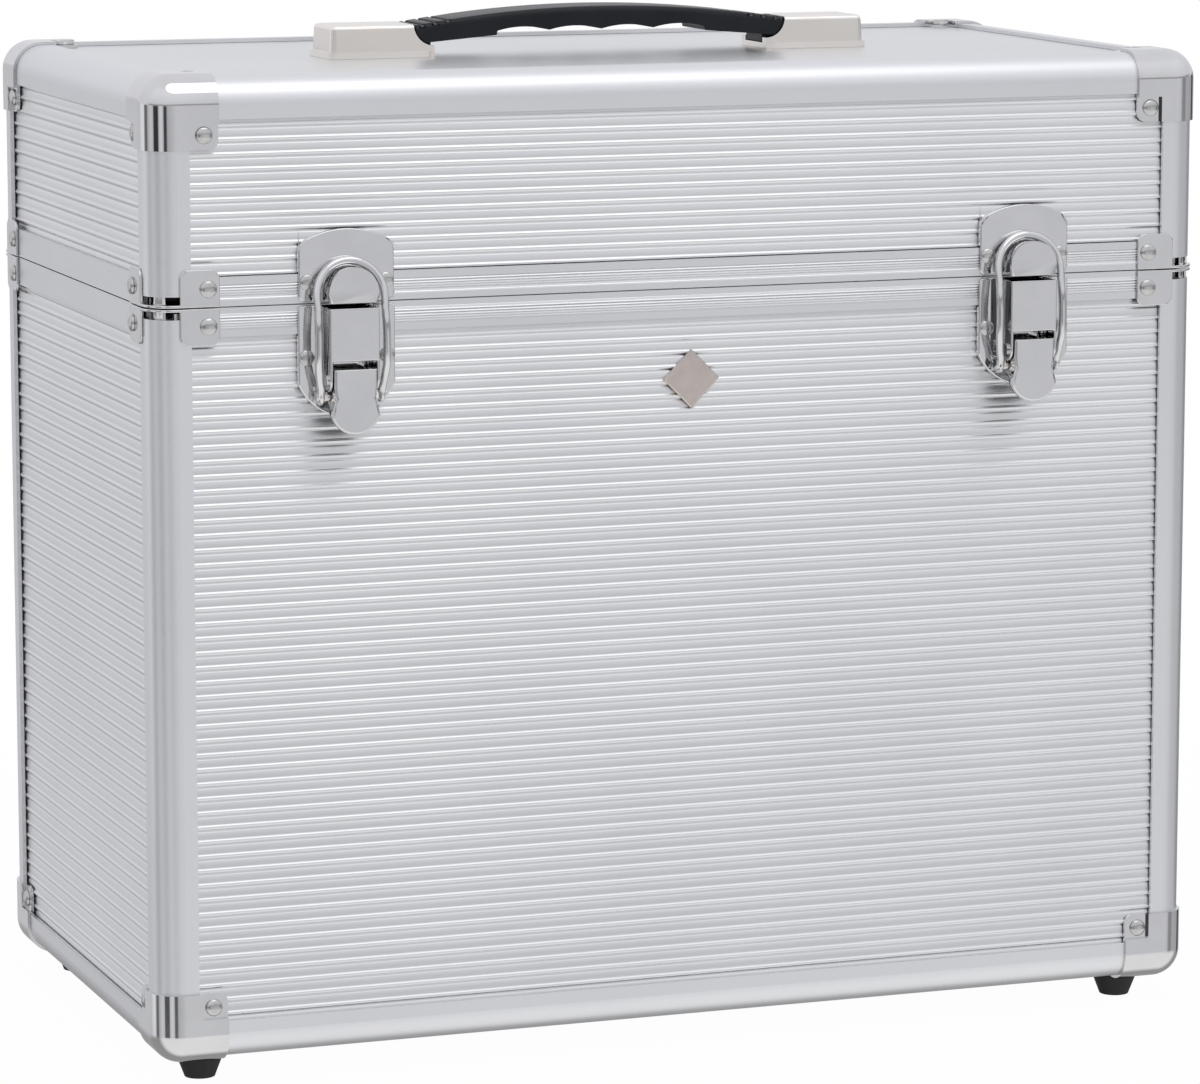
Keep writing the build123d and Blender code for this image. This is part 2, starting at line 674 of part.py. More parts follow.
def lever_outline():
    """Front of the lever: straight top, slight waist, flared and rounded tab."""
    top = -PIVOT_DROP + LEVER_TOP_REACH
    flare = -PIVOT_DROP - LEVER_FLARE_DROP
    end = -PIVOT_DROP - LEVER_LENGTH
    half = LEVER_WIDTH / 2
    waist = LEVER_WAIST / 2
    wide = LEVER_FLARE / 2
    waist_level = -PIVOT_DROP - BAIL_PIN_DROP
    side = Line((half, top), (half, waist_level + CHEEK_LOBE)) + Line(
        (half, waist_level + CHEEK_LOBE), (waist, waist_level)
    )
    side += Line((waist, waist_level), (wide, flare))
    round_end = ThreePointArc((wide, flare), (0, end), (-wide, flare))
    other = side.mirror(Plane.YZ)
    outline = make_face(Line((-half, top), (half, top)) + side + round_end + other)
    return outline


def latch_lever():
    """Pressed lever with a skirt round its edge and bores for its pivot and for the bail's pin."""
    top = -PIVOT_DROP + LEVER_TOP_REACH
    end = -PIVOT_DROP - LEVER_LENGTH
    outline = lever_outline()
    low = BAIL_PIN_OUT - BAIL_PIN / 2 - PLATE_WALL
    pressed = Pos(0, 0, low) * extrude(outline, LEVER_FACE - low)
    hollow = offset(outline, -PLATE_WALL) + flat(
        (-LEVER_WIDTH / 2 + PLATE_WALL, LEVER_WIDTH / 2 - PLATE_WALL), (top - 2 * PLATE_WALL, top + PLATE_WALL)
    )
    pressed -= Pos(0, 0, low) * extrude(hollow, LEVER_FACE - low - PLATE_WALL)
    lip = LEVER_FACE - LEVER_LIP
    side = Polyline(
        (top, LEVER_FACE),
        (top, PIVOT_OUT - PIVOT_PIN),
        (BAIL_PIN_LEVEL + BAIL_PIN, low),
        (BAIL_PIN_LEVEL - BAIL_PIN, low),
        (BAIL_PIN_LEVEL - 2 * BAIL_PIN, lip - PLATE_WALL),
        (end, lip),
        (end, LEVER_FACE),
        close=True,
    )
    envelope = extrude(Plane.YZ.offset(-LEVER_FLARE) * make_face(side), 2 * LEVER_FLARE)
    lever = pressed & envelope
    pivot = Pos(0, -PIVOT_DROP, PIVOT_OUT) * Rot(0, 90, 0)
    lever -= pivot * Cylinder(PIVOT_PIN / 2 + TURN_GAP, 2 * LEVER_FLARE)
    pin = Pos(0, BAIL_PIN_LEVEL, BAIL_PIN_OUT) * Rot(0, 90, 0)
    return lever - pin * Cylinder(BAIL_PIN / 2 + TURN_GAP, 2 * LEVER_FLARE)


def latch_bail():
    """Wire loop with flattened eyes, upright over its pin at the origin and then tilted to its rest."""
    bend_start = EYE_RADIUS + EYE_WALL
    crown = BAIL_CROWN_RISE - BAIL_LEG_X
    turn = 2 * atan((BAIL_LEG_X - EYE_X) / LEG_BEND_HEIGHT)
    radius = LEG_BEND_HEIGHT / (2 * sin(turn))
    outwards = JernArc((EYE_X, bend_start), (0, 1), radius, -degrees(turn))
    upright = JernArc(outwards @ 1, outwards % 1, radius, degrees(turn))
    half = Line((EYE_X, EYE_RADIUS / 2), (EYE_X, bend_start)) + outwards + upright
    half += Line((BAIL_LEG_X, bend_start + LEG_BEND_HEIGHT), (BAIL_LEG_X, crown))
    path = half + ThreePointArc((BAIL_LEG_X, crown), (0, crown + BAIL_LEG_X), (-BAIL_LEG_X, crown))
    path += half.mirror(Plane.YZ)
    start = Plane(origin=(EYE_X, EYE_RADIUS / 2, 0), x_dir=(1, 0, 0), z_dir=(0, 1, 0))
    wire = sweep(start * Circle(BAIL_WIRE / 2), path=path)
    bail = wire
    for side in (-1, 1):
        eye = Pos(side * EYE_X) * Rot(0, 90, 0)
        bail -= block(
            (side * EYE_X - BAIL_WIRE, side * EYE_X + BAIL_WIRE), (-BAIL_WIRE, EYE_RADIUS - 1), (-EYE_RADIUS, EYE_RADIUS)
        )
        bail += eye * Cylinder(EYE_RADIUS, EYE_WALL)
        bail -= eye * Cylinder(BAIL_PIN / 2 + TURN_GAP, 2 * EYE_WALL)
    return bail.rotate(Axis.X, BAIL_TILT)


# Hinges. Drawn on the back about the middle of the hinge: local X across, Y up from the parting line, Z out


def hinge_leaf(for_body):
    """One leaf with its share of the knuckles, for the body or for the lid."""
    up = -1 if for_body else 1
    half = HINGE_WIDTH / 2
    radius = HINGE_KNUCKLE / 2
    segment = HINGE_WIDTH / HINGE_KNUCKLES
    leaf = block((-half, half), sorted((up * HALF_GAP * 2, up * (HALF_GAP + HINGE_LEAF_HEIGHT))), (SEAT_GAP, HINGE_LEAF_WALL))
    knuckles = []
    for index in range(HINGE_KNUCKLES):
        start = -half + index * segment
        own = (index % 2 == 0) == for_body
        if own:
            span = (start + HINGE_KNUCKLE_GAP / 2, start + segment - HINGE_KNUCKLE_GAP / 2)
            length = span[1] - span[0]
            barrel = Pos(sum(span) / 2, 0, HINGE_AXIS_OUT) * Rot(0, 90, 0) * Cylinder(radius, length)
            root = block(span, sorted((0, up * radius)), (HINGE_AXIS_OUT - radius, HINGE_AXIS_OUT))
            knuckles.append(barrel + root)
        else:
            span = (start - HINGE_KNUCKLE_GAP / 2, start + segment + HINGE_KNUCKLE_GAP / 2)
            leaf -= block(span, sorted((0, up * (radius * sqrt(2) + HINGE_KNUCKLE_GAP))), (-1, HINGE_AXIS_OUT))
    for knuckle in knuckles:
        leaf += knuckle
    bore = Pos(0, 0, HINGE_AXIS_OUT) * Rot(0, 90, 0) * Cylinder(HINGE_PIN / 2 + TURN_GAP, 2 * HINGE_WIDTH)
    return leaf - bore


def hinge_place(x):
    """Where a hinge sits on the back."""
    return FACES["back"] * Pos(x, PARTING)


# Carrying handle. Drawn on the top about its middle: local X along the case, Y back, Z up from the top


def housing():
    """Die-cast end of the handle on the right: flange, drafted body and hollow for the grip's tongue."""
    floor = -PANEL_FACE + SEAT_GAP
    half = HOUSING_WIDTH / 2
    flange_face = flat((HOUSING_INNER, HOUSING_OUTER + HOUSING_FLANGE), (-half - HOUSING_FLANGE, half + HOUSING_FLANGE))
    flange_face = fillet(flange_face.vertices(), HOUSING_CORNER)
    flange = Pos(0, 0, floor) * extrude(flange_face, HOUSING_FLANGE_WALL)
    body_face = flat((HOUSING_INNER - HOUSING_WIDTH, HOUSING_OUTER), (-half, half))
    body_face = fillet(body_face.vertices(), HOUSING_CORNER)
    body = Pos(0, 0, floor) * extrude(body_face, HOUSING_RISE - floor, taper=HOUSING_DRAFT)
    body = fillet(body.faces().sort_by(Axis.Z)[-1].edges(), HOUSING_CORNER / 2)
    end = HOUSING_INNER - HOUSING_FLANGE
    cut = block((end - HOUSING_WIDTH, end), (-half - 2, half + 2), (floor - 1, 2 * HOUSING_RISE))
    cut += Pos(end, 0, HOUSING_RISE) * Rot(90, 0, 0) * Cylinder(HOUSING_END_RADIUS, HOUSING_WIDTH + 4)
    body -= cut
    hollow_half = TONGUE_BAR_WIDTH / 2 + TONGUE_SIDE_PLAY
    neck_half = TONGUE_NECK_WIDTH / 2 + TONGUE_SIDE_PLAY
    roof = TONGUE_LOW + TONGUE_THICKNESS + GRIP_LIFT + SEAT_GAP
    bar_start = TONGUE_REACH - TONGUE_BAR_LENGTH - HOUSING_WALL
    hollow = block((bar_start, TONGUE_REACH + HOUSING_WALL), (-hollow_half, hollow_half), (floor - 1, roof))
    neck = block((0, bar_start + 1), (-neck_half, neck_half), (TONGUE_LOW - SEAT_GAP * 6, roof))
    return flange + body - hollow - neck


def grip_outline():
    """Grip seen from the side, open to above its arched top: rounded ends and a scalloped finger rest."""
    end_x = HOUSING_INNER - HOUSING_FLANGE
    radius = HOUSING_END_RADIUS - GRIP_END_GAP
    levels = (HOUSING_RISE, (HOUSING_RISE + GRIP_END_FLOOR) / 2, GRIP_END_FLOOR)
    tip, middle, foot_x = [(end_x + sqrt(radius**2 - (HOUSING_RISE - level) ** 2), level) for level in levels]
    above = 2 * GRIP_PEAK
    rest = GRIP_SCALLOP_TOP - GRIP_SCALLOP_DEPTH
    half = Line((0, above), (tip[0], above)) + Line((tip[0], above), tip) + ThreePointArc(tip, middle, foot_x)
    half += Line(foot_x, (GRIP_STEP_X, GRIP_STEP_FLOOR))
    half += Line((GRIP_STEP_X, GRIP_STEP_FLOOR), (GRIP_STEP_X, rest))
    outline = half + half.mirror(Plane.YZ)
    pitch = 2 * GRIP_STEP_X / GRIP_SCALLOPS
    for index in range(GRIP_SCALLOPS):
        start = -GRIP_STEP_X + index * pitch
        outline += ThreePointArc((start, rest), (start + pitch / 2, GRIP_SCALLOP_TOP), (start + pitch, rest))
    return make_face(outline)


def arched_bar(tip, sag):
    """Bar with rounded top edges, bent into the arch of the grip."""
    radius = (tip**2 + sag**2) / (2 * sag)
    half = GRIP_WIDTH / 2
    section = flat((-half, half), (-GRIP_PEAK, 0))
    section = fillet(section.vertices().sort_by(Axis.Y)[2:], GRIP_EDGE)
    spread = 2 * degrees(asin(tip / radius)) + 2
    bar = revolve(Plane.YZ * Pos(0, GRIP_PEAK) * section, Axis((0, 0, GRIP_PEAK - radius), (0, 1, 0)), spread)
    return bar.rotate(Axis((0, 0, GRIP_PEAK - radius), (0, 1, 0)), -spread / 2)


def grip():
    """Arched moulded grip with grooved ends and a captured tongue at each end."""
    end_x = HOUSING_INNER - HOUSING_FLANGE
    tip = end_x + HOUSING_END_RADIUS - GRIP_END_GAP
    sag = GRIP_PEAK - GRIP_END_RISE
    body = extrude(Plane.XZ.offset(-GRIP_WIDTH) * grip_outline(), 2 * GRIP_WIDTH) & arched_bar(tip, sag)
    levels = (TONGUE_LOW, TONGUE_LOW + TONGUE_THICKNESS)
    for side in (-1, 1):
        for index in range(GRIP_GROOVES):
            x = tip - GRIP_GROOVE_PITCH * (index + 0.6)
            level = GRIP_PEAK - sag * (x / tip) ** 2
            body -= Pos(side * x, 0, level) * Box(GRIP_GROOVE_WIDTH, 2 * GRIP_WIDTH, 2 * GRIP_GROOVE_DEPTH)
        neck = sorted((side * end_x, side * TONGUE_REACH))
        bar = sorted((side * (TONGUE_REACH - TONGUE_BAR_LENGTH), side * TONGUE_REACH))
        body += block(neck, (-TONGUE_NECK_WIDTH / 2, TONGUE_NECK_WIDTH / 2), levels)
        body += block(bar, (-TONGUE_BAR_WIDTH / 2, TONGUE_BAR_WIDTH / 2), levels)
    return body


# Badge, tray and ledges


def badge():
    """Bare diamond plate on the front panel's ribs."""
    plate = extrude(Rot(0, 0, 45) * Rectangle(BADGE_SIDE, BADGE_SIDE), BADGE_WALL)
    plate = chamfer(plate.faces().sort_by(Axis.Z)[-1].edges(), BADGE_BEVEL)
    return FACES["front"] * Pos(0, PARTING - BADGE_DROP, -PANEL_FACE + SEAT_GAP) * plate


def tray():
    """Open tray with cross walls, standing on the ledges inside the body."""
    half_x = WIDTH / 2 - CAVITY_FACE - TRAY_PLAY
    half_y = DEPTH / 2 - CAVITY_FACE - TRAY_PLAY
    tub = block((-half_x, half_x), (-half_y, half_y), (TRAY_FLOOR, TRAY_FLOOR + TRAY_HEIGHT))
    tub = fillet(tub.edges().filter_by(Axis.Z), TRAY_CORNER)
    inner_x = half_x - TRAY_WALL
    inner_y = half_y - TRAY_WALL
    room = (2 * inner_x - (TRAY_SECTIONS - 1) * TRAY_WALL) / TRAY_SECTIONS
    for index in range(TRAY_SECTIONS):
        start = -inner_x + index * (room + TRAY_WALL)
        section = block((start, start + room), (-inner_y, inner_y), (TRAY_FLOOR + TRAY_WALL, PARTING))
        tub -= fillet(section.edges().filter_by(Axis.Z), TRAY_CORNER - TRAY_WALL)
    return tub


def ledge(side):
    """Angle on the lining of one end wall that carries the tray."""
    wall = WIDTH / 2 - CAVITY_FACE - SEAT_GAP
    top = TRAY_FLOOR - LEDGE_GAP
    shelf = block((wall - LEDGE_WIDTH, wall), (-LEDGE_LENGTH / 2, LEDGE_LENGTH / 2), (top - LEDGE_WALL, top))
    back = block((wall - LEDGE_WALL, wall), (-LEDGE_LENGTH / 2, LEDGE_LENGTH / 2), (top - LEDGE_HEIGHT, top))
    angle = shelf + back
    return angle if side > 0 else angle.mirror(Plane.YZ)


def save(name, *pieces):
    """Write one piece, or a group of like pieces, in the object's own frame."""
    placed = [Pos(0, CASE_SHIFT, FOOT_HEIGHT) * piece for piece in pieces]
    shape = placed[0] if len(placed) == 1 else Compound(children=placed)
    shape.label = name
    export_step(shape, f"parts/{name}.step")


def body_parts():
    """Everything fixed to the body."""
    panel_top = PARTING - RIM_WEB - PANEL_END_GAP
    rib_level = PARTING - BODY_RIB_OFFSET
    for face in FACE_LENGTH:
        save(f"body_{face}_panel", ribbed_panel(face, PANEL_INSET, panel_top, rib_level, "body"))
    save("body_bottom_panel", smooth_panel("bottom", "body"))
    save("body_lining", lining(LINING_FACE, PARTING - LINING_TOP_DROP))
    upright = post(LEG, PARTING - POST_END_GAP)
    corner = drill(to_corner(bottom_ball_corner(), "front_left"), "body")
    corner = Pos(WIDTH / 2, DEPTH / 2) * corner
    for name in CORNERS:
        save(f"body_post_{name}", to_corner(upright, name))
        save(f"bottom_corner_{name}", to_corner(corner, name))
    save("bottom_edges", *edges())
    save("body_rims", *rims(body_rim_section, "body"))
    save("body_rim_brackets", *brackets("body"))
    save("feet", *[to_corner(foot(), name) for name in CORNERS])
    save("foot_screws", *[to_corner(foot_screw(), name) for name in CORNERS])
    save("body_rivets", *rivet_group("body"))
    save("badge", badge())
    save("tray_ledges", ledge(-1), ledge(1))


def brackets(half):
    """Four parting line brackets of the body or the lid."""
    bracket = Pos(0, 0, PARTING) * rim_bracket()
    if half == "lid":
        bracket = upside_down(bracket, PARTING)
    return [drill(to_corner(bracket, name), half) for name in CORNERS]


def lid_parts():
    """Everything fixed to the lid."""
    panel_low = PARTING + TONGUE_HEIGHT + TONGUE_PLAY + INNER_WALL + PANEL_END_GAP
    rib_level = PARTING + LID_RIB_OFFSET
    for face in FACE_LENGTH:
        save(f"lid_{face}_panel", ribbed_panel(face, panel_low, HEIGHT - PANEL_INSET, rib_level, "lid"))
    save("lid_top_panel", smooth_panel("top", "lid"))
    tub = lining(LINING_FACE, HEIGHT - PARTING - LINING_TOP_DROP)
    save("lid_lining", upside_down(tub, HEIGHT / 2))
    upright = post(PARTING + POST_END_GAP, HEIGHT - LEG)
    save("lid_posts", *[to_corner(upright, name) for name in CORNERS])
    save("top_edges", *[upside_down(edge, HEIGHT / 2) for edge in edges()])
    corner = upside_down(ball_corner(), HEIGHT / 2)
    for name in CORNERS:
        save(f"top_corner_{name}", drill(to_corner(corner, name), "lid"))
    save("lid_rims", *rims(lid_rim_section, "lid"))
    save("lid_rim_brackets", *brackets("lid"))
    save("lid_rivets", *rivet_group("lid"))
    right = FACES["top"] * housing()
    save("handle_housing_right", right)
    save("handle_housing_left", right.mirror(Plane.YZ))


def latch_parts():
    """Both latches."""
    plate = latch_base()
    catch = keeper()
    lever = latch_lever()
    bail = Pos(0, BAIL_PIN_LEVEL, BAIL_PIN_OUT) * latch_bail()
    pin_length = 2 * (EYE_X + EYE_WALL / 2 + TURN_GAP)
    bail_pin = Pos(0, BAIL_PIN_LEVEL, BAIL_PIN_OUT) * cross_pin(BAIL_PIN, pin_length, PIN_HEAD, PIN_HEAD_RISE)
    pivot_length = BRIDGE_WIDTH + 2 * SEAT_GAP
    pivot = Pos(0, -PIVOT_DROP, PIVOT_OUT) * cross_pin(PIVOT_PIN, pivot_length, PIVOT_HEAD, PIVOT_HEAD_RISE)
    for name, x in (("left", -LATCH_X), ("right", LATCH_X)):
        place = latch_place(x)
        save(f"latch_{name}_base", drill(place * plate, "body", "front"))
        save(f"latch_{name}_keeper", drill(place * catch, "lid", "front"))
        save(f"latch_{name}_lever", place * lever)
        save(f"latch_{name}_bail", place * bail)
        save(f"latch_{name}_bail_pin", place * bail_pin)
    save("latch_pivot_pins", latch_place(-LATCH_X) * pivot, latch_place(LATCH_X) * pivot)


def hinge_parts():
    """Both hinges."""
    pin = Pos(0, 0, HINGE_AXIS_OUT) * cross_pin(
        HINGE_PIN, HINGE_WIDTH + 2 * TURN_GAP, HINGE_PIN_HEAD, HINGE_PIN_HEAD_LENGTH
    )
    for name, x in (("left", HINGE_X), ("right", -HINGE_X)):
        place = hinge_place(x)
        save(f"hinge_{name}_body_leaf", drill(place * hinge_leaf(True), "body", "back"))
        save(f"hinge_{name}_lid_leaf", drill(place * hinge_leaf(False), "lid", "back"))
    save("hinge_pins", hinge_place(-HINGE_X) * pin, hinge_place(HINGE_X) * pin)


body_parts()
lid_parts()
latch_parts()
hinge_parts()
save("handle_grip", FACES["top"] * grip())
save("tray", tray())
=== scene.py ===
import json
import math

import bmesh
import bpy
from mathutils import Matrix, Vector


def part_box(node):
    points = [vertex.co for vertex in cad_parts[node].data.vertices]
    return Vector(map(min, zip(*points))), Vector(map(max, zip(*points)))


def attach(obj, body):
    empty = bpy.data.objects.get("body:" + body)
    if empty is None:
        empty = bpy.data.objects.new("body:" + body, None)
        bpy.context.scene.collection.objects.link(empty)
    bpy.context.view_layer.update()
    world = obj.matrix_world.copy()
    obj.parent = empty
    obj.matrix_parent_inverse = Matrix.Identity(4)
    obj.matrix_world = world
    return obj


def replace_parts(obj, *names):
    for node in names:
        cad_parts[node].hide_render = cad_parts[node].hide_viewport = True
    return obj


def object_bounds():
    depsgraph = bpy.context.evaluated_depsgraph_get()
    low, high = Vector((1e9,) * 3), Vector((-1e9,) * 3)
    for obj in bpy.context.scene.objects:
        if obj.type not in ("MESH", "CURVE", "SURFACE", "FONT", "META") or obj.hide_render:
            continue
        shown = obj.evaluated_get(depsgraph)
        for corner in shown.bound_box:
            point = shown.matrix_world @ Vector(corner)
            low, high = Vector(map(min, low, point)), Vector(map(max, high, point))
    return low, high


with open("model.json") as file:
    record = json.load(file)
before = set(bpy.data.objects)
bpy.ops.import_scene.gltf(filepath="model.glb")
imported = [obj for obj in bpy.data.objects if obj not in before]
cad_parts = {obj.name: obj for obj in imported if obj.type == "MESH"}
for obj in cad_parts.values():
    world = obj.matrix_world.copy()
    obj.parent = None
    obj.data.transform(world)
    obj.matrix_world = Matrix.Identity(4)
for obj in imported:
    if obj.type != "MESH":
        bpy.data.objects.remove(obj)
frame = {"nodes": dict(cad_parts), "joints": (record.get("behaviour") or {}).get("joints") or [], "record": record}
cad_low, cad_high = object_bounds()
nodes = frame["nodes"]
MM = 0.001

# Camera at the photograph's viewpoint, fitted to the case's corners. Angles are in radians
CAMERA_PLACE = (-0.68373, -1.87956, 0.48927)
CAMERA_AZIMUTH = 0.3502
CAMERA_DROP = 0.158
CAMERA_LENS = 160.5
SENSOR = 36.0
CLIP_START = 0.05
CLIP_END = 100.0

# Places taken from the frame: the case's front plane, the joints and the parting line
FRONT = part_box("body_post_front_left")[0].y
JOINT_PLACES = {joint["name"]: joint.get("pos_m") for joint in frame["joints"]}
PARTING = JOINT_PLACES["lid_hinge"][2]

# Ribs, in millimetres. The offsets lead from the parting line to a bead on the front
RIB_PITCH = 5.193
BODY_RIB_OFFSET = 17.85
LID_RIB_OFFSET = 11.2
BODY_SIDE_SHIFT = 1.0
LID_SIDE_SHIFT = 2.3
BEAD_HEIGHT = 0.5
BEAD_UP = 1.0
BEAD_DOWN = 1.15
GROOVE_DEPTH = 0.3
GROOVE_UP = 0.8
FLANK_STEPS = 6

# Fine grooves in the rims at the parting line, in millimetres. Only what lies further than GROOVED_DEPTH
# from the middle, to the front or the back, has them
GROOVES_FROM = 2.4
GROOVE_PITCH = 1.05
GROOVES = 5
GROOVE_WAVE = 0.12
GROOVED_DEPTH = 99.0

# Rivets, in millimetres, and as shares of the head's radius
LARGE_RIVET = 6.0
LARGE_RISE = 1.6
SMALL_RISE = 1.2
RIVET_EDGE = 0.3
SHANK_DEPTH = 4
SHANK_SHARE = 0.55
FOOT_SHARE = 0.97
TIP_SHARE = 0.02
DOME_STEPS = 8

# Latches, in millimetres from the parting line and out from the front plane
BOSS_HALF = 9.1
BOSS_FOOT = 0.7
BOSS_TOP = 13.25
BOSS_OUT = 9.9
BOSS_BACK = 0.5
BOSS_STEPS = 24
BOSS_BEVEL = 1.5
BOSS_BEVEL_STEPS = 6
BOSS_FOOT_PLAY = 0.01
NEAR = 1e-6
WIRE_RADIUS = 1.4
WIRE_SIDES = 16
CROWN_HALF = 12.3
CROWN_CENTRE = 2.8
CROWN_OUT = 3.0
CROWN_STEPS = 12
BAIL_LEG = (
    (11.1, -33.0, 5.5), (11.2, -29.5, 6.1), (11.9, -25.5, 6.8), (12.4, -21.0, 7.7),
    (12.4, -15.0, 8.2), (12.4, -8.0, 7.8), (12.3, -3.0, 7.0), (12.3, CROWN_CENTRE, 5.9),
)
EYE_X = 11.1
EYE_RADIUS = 2.9
EYE_WALL = 1.4
EYE_EDGE = 0.3
SLEEVE = ((7.7, 1.25), (8.1, 1.6), (8.8, 1.6), (9.0, 1.35), (9.2, 1.6), (9.9, 1.6), (10.2, 1.25))
SLEEVE_SIDES = 20

# Roundings of the solids' sharp edges, in millimetres
PLATE_EDGE = 0.5
LEVER_EDGE = 0.9
BRACKET_EDGE = 0.3
GRIP_EDGE = 0.5
BADGE_EDGE = 0.3
EDGE_STEPS = 3
EDGE_ANGLE = math.radians(35)
WELD_DISTANCE = 0.001
SHARP_ANGLE = math.radians(40)

# Range of a noise that is spread over a material's roughness, and over its colours
NOISE_RANGE = (0.25, 0.75)
COLOUR_RANGE = (0.3, 0.7)
GRAIN_DETAIL = 4.0
PATCH_DETAIL = 3.0
PLASTIC_PATCH = 60.0
FLOOR_PATCH = 3.0

# Floor, in metres. FLOOR_GLOW is the share of plain white that the camera sees in it near the object.
# It grows to all of it between the two shares of the radius in FLOOR_FADE
FLOOR_RADIUS = 0.8
FLOOR_SIDES = 96
FLOOR_GLOW = 0.97
FLOOR_FADE = (0.4, 0.95)
FLOOR_ROUGHNESS = 0.9
FLOOR_SPECULAR = 0.1

# Room brightness round the object: (share of a turn, brightness). A half is in front and a quarter is left
ROOM_WALLS = (
    (0.0, 0.64), (0.10, 0.67), (0.14, 0.90), (0.175, 0.95), (0.188, 0.45), (0.20, 0.14), (0.222, 0.18),
    (0.232, 0.5), (0.27, 0.72), (0.296, 0.62), (0.304, 0.05), (0.350, 0.04), (0.359, 0.65), (0.383, 0.8),
    (0.403, 0.6), (0.411, 0.06), (0.434, 0.06), (0.446, 0.5), (0.50, 0.62), (0.53, 0.69), (0.60, 0.72),
    (0.635, 0.64), (0.652, 0.32), (0.69, 0.30), (0.70, 0.50), (0.79, 0.45), (0.81, 0.06), (0.835, 0.06),
    (0.86, 0.45), (0.95, 0.60),
)
# Room brightness by height, in front and behind: (height of the direction, brightness)
ROOM_FRONT = ((0.0, 1.0), (0.06, 0.35), (0.10, 0.35), (0.16, 0.75), (0.5, 0.85), (0.8, 0.92), (1.0, 0.80))
ROOM_BACK = ((0.0, 0.80), (0.30, 0.80), (0.7, 0.85), (1.0, 0.85))
# Slight blue tint of the room's greys
ROOM_TINT = (0.99, 0.995, 1.03)
# Brightness of the floor in front of the object, and of its shadow behind
FLOOR_FRONT = 0.95
FLOOR_BACK = 0.36
# Directions between which the room goes from front to back, from walls to ceiling and from walls to floor
BACK_FROM = (-0.15, 0.25)
CEILING_FROM = (0.02, 0.07)
FLOOR_FROM = (0.22, 0.36)

# Lamp over the case, in metres and watts
LAMP_PLACE = (0.15, -0.7, 1.9)
LAMP_TARGET = (0.0, 0.0, 0.2)
LAMP_SIZE = (1.5, 1.3)
LAMP_POWER = 4.1


def make_camera():
    """Camera at the photograph's viewpoint."""
    data = bpy.data.cameras.new("camera")
    data.lens = CAMERA_LENS
    data.sensor_width = SENSOR
    data.clip_start = CLIP_START
    data.clip_end = CLIP_END
    camera = bpy.data.objects.new("camera", data)
    bpy.context.scene.collection.objects.link(camera)
    camera.location = CAMERA_PLACE
    camera.rotation_euler = (math.pi / 2 - CAMERA_DROP, 0.0, -CAMERA_AZIMUTH)
    bpy.context.scene.camera = camera


# Node tools


def maths(tree, operation, first, second):
    """Result of a sum on sockets or numbers."""
    node = tree.nodes.new("ShaderNodeMath")
    node.operation = operation
    for socket, value in zip(node.inputs, (first, second)):
        if isinstance(value, (float, int)):
            socket.default_value = value
        else:
            tree.links.new(value, socket)
    return node.outputs[0]


def smooth_step(tree, value, limits, low=0.0, high=1.0):
    """A value that goes smoothly from low to high between two limits."""
    node = tree.nodes.new("ShaderNodeMapRange")
    node.interpolation_type = "SMOOTHSTEP"
    node.inputs["From Min"].default_value = limits[0]
    node.inputs["From Max"].default_value = limits[1]
    node.inputs["To Min"].default_value = low
    node.inputs["To Max"].default_value = high
    tree.links.new(value, node.inputs["Value"])
    return node.outputs[0]


class Shader:
    """A node material under construction."""

    def __init__(self, name):
        self.material = bpy.data.materials.new(name)
        self.material.use_nodes = True
        self.tree = self.material.node_tree
        self.surface = self.tree.nodes["Principled BSDF"]
        self.coords = self.add("ShaderNodeTexCoord").outputs["Object"]

    def add(self, kind, **settings):
        """New node. A setting is an input's value where the node has such an input."""
        node = self.tree.nodes.new(kind)
        for key, value in settings.items():
            if key in node.inputs:
                node.inputs[key].default_value = value
            else:
                setattr(node, key, value)
        return node

    def link(self, output, socket):
        """Link an output to an input."""
        self.tree.links.new(output, socket)

    def stretched(self, scale):
        """Object coordinates with a scale for each axis."""
        node = self.add("ShaderNodeMapping")
        node.inputs["Scale"].default_value = scale
        self.link(self.coords, node.inputs["Vector"])
        return node.outputs["Vector"]

    def noise(self, scale, detail=PATCH_DETAIL, stretch=None):
        """Noise over the object, stretched along an axis where a stretch is given."""
        node = self.add("ShaderNodeTexNoise", Scale=scale, Detail=detail)
        self.link(self.stretched(stretch) if stretch else self.coords, node.inputs["Vector"])
        return node.outputs["Fac"]

    def spread(self, value, low, high):
        """A noise spread between two values."""
        node = self.add("ShaderNodeMapRange")
        node.inputs["From Min"].default_value = NOISE_RANGE[0]
        node.inputs["From Max"].default_value = NOISE_RANGE[1]
        node.inputs["To Min"].default_value = low
        node.inputs["To Max"].default_value = high
        self.link(value, node.inputs["Value"])
        return node.outputs["Result"]

    def colours(self, value, first, second):
        """Base colour that goes from the first colour to the second with a noise."""
        node = self.add("ShaderNodeValToRGB")
        elements = node.color_ramp.elements
        elements[0].position = COLOUR_RANGE[0]
        elements[1].position = COLOUR_RANGE[1]
        elements[0].color = (*first, 1.0)
        elements[1].color = (*second, 1.0)
        self.link(value, node.inputs["Fac"])
        self.link(node.outputs["Color"], self.surface.inputs["Base Color"])

    def maths(self, operation, first, second):
        """Result of a sum in this material."""
        return maths(self.tree, operation, first, second)

    def bump(self, value, distance):
        """Relief of a height, in metres."""
        node = self.add("ShaderNodeBump", Strength=1.0, Distance=distance)
        self.link(value, node.inputs["Height"])
        self.link(node.outputs["Normal"], self.surface.inputs["Normal"])

    def rough(self, value, low, high):
        """Roughness that varies with a noise."""
        self.link(self.spread(value, low, high), self.surface.inputs["Roughness"])


# Materials


